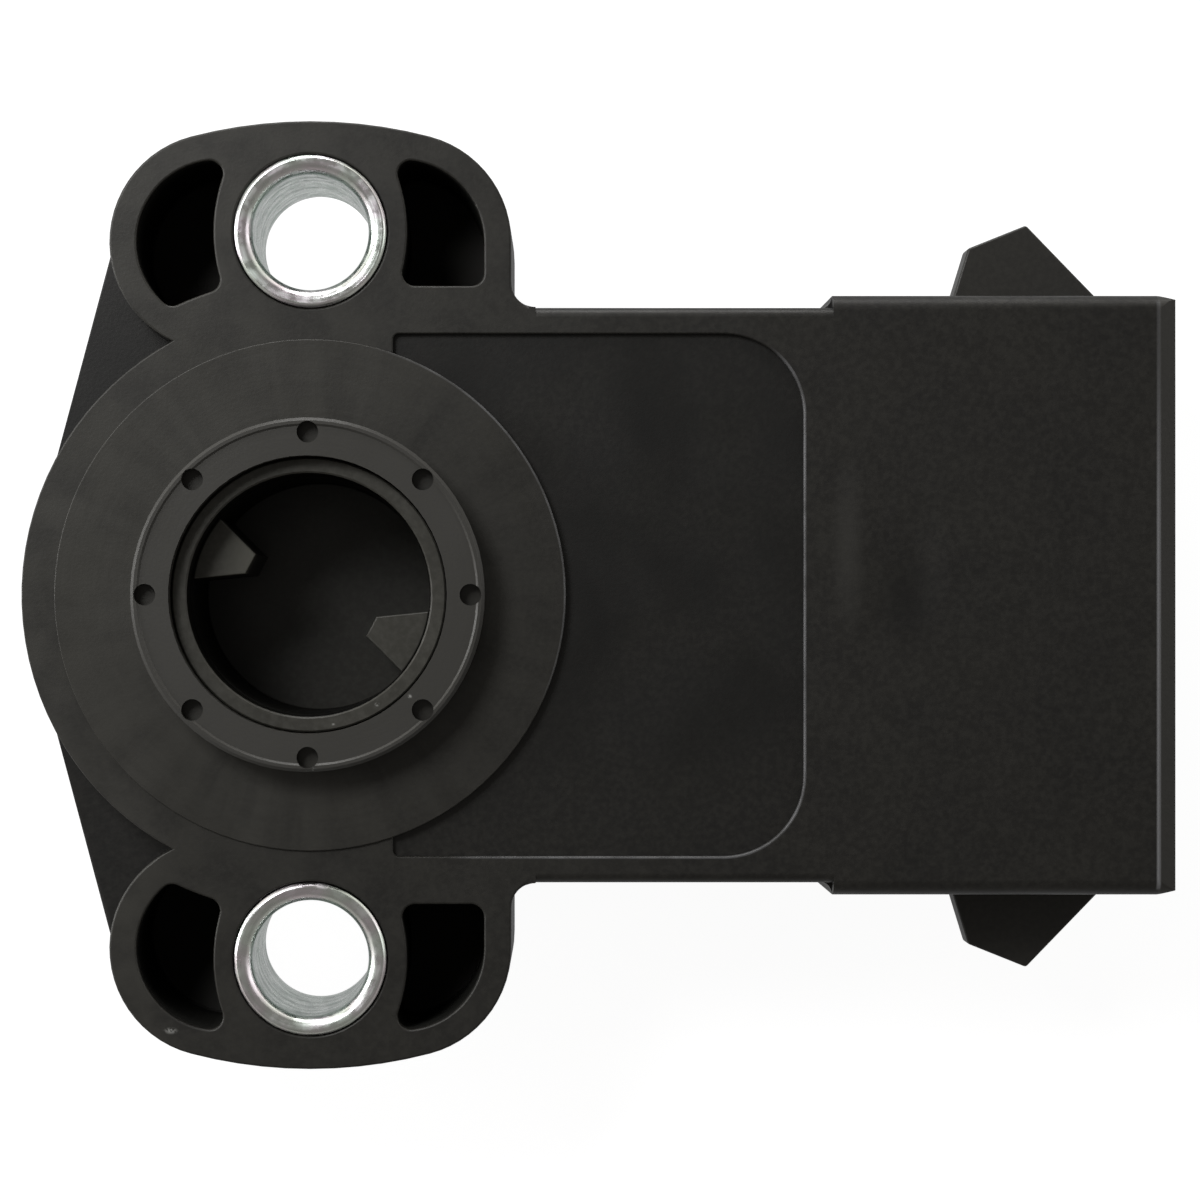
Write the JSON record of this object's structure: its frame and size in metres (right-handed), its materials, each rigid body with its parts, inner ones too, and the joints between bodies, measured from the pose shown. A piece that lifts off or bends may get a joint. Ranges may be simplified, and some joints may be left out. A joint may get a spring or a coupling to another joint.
{
  "type": "throttle position sensor",
  "caption": "Rotary throttle position sensor with two sleeved mounting ears, a raised collar around a sprung drive cup, and a three-pin plug socket with locking ramps.",
  "frame": {"origin": "on the drive cup's axis, in the mounting plane that the sleeves' ends and the raised round face share", "axes": "+Z along the cup's axis into the throttle body, +X out of the plug socket, +Y along the line of the two screw holes"},
  "size_m": [0.0571, 0.0472, 0.017],
  "materials": {
    "housing_plastic": "black glass-filled moulding, fine matt texture",
    "rotor_plastic": "black low-friction moulding",
    "zinc_steel": "turned, bright zinc plated",
    "spring_steel": "drawn wire and stamped strip",
    "brush_alloy": "stamped strip",
    "tinned_brass": "stamped and tin plated",
    "ptfe": "skived sheet",
    "board": "laminate with printed tracks",
    "epoxy": "cured bead"
  },
  "bodies": {
    "sensor_body": {"housing": "housing_plastic", "upper_sleeve": "zinc_steel", "lower_sleeve": "zinc_steel", "return_spring": "spring_steel", "wave_washer": "spring_steel", "resistive_board": "board", "supply_terminal": "tinned_brass", "signal_terminal": "tinned_brass", "ground_terminal": "tinned_brass", "solder_joints": "tinned_brass", "rear_cover": "housing_plastic", "sealing_bead": "epoxy"},
    "turning_rotor": {"rotor": "rotor_plastic", "thrust_ring": "ptfe", "wiper_brush": "brush_alloy"}
  },
  "joints": [
    {"name": "rotor_turn", "type": "hinge", "parent": "sensor_body", "child": "turning_rotor", "pos_m": [0, 0, 0], "axis": [0, 0, -1], "range_deg": [0, 100], "stiffness_Nm_per_rad": 0.012, "springref_deg": -20.05, "deforming": ["return_spring"]}
  ]
}
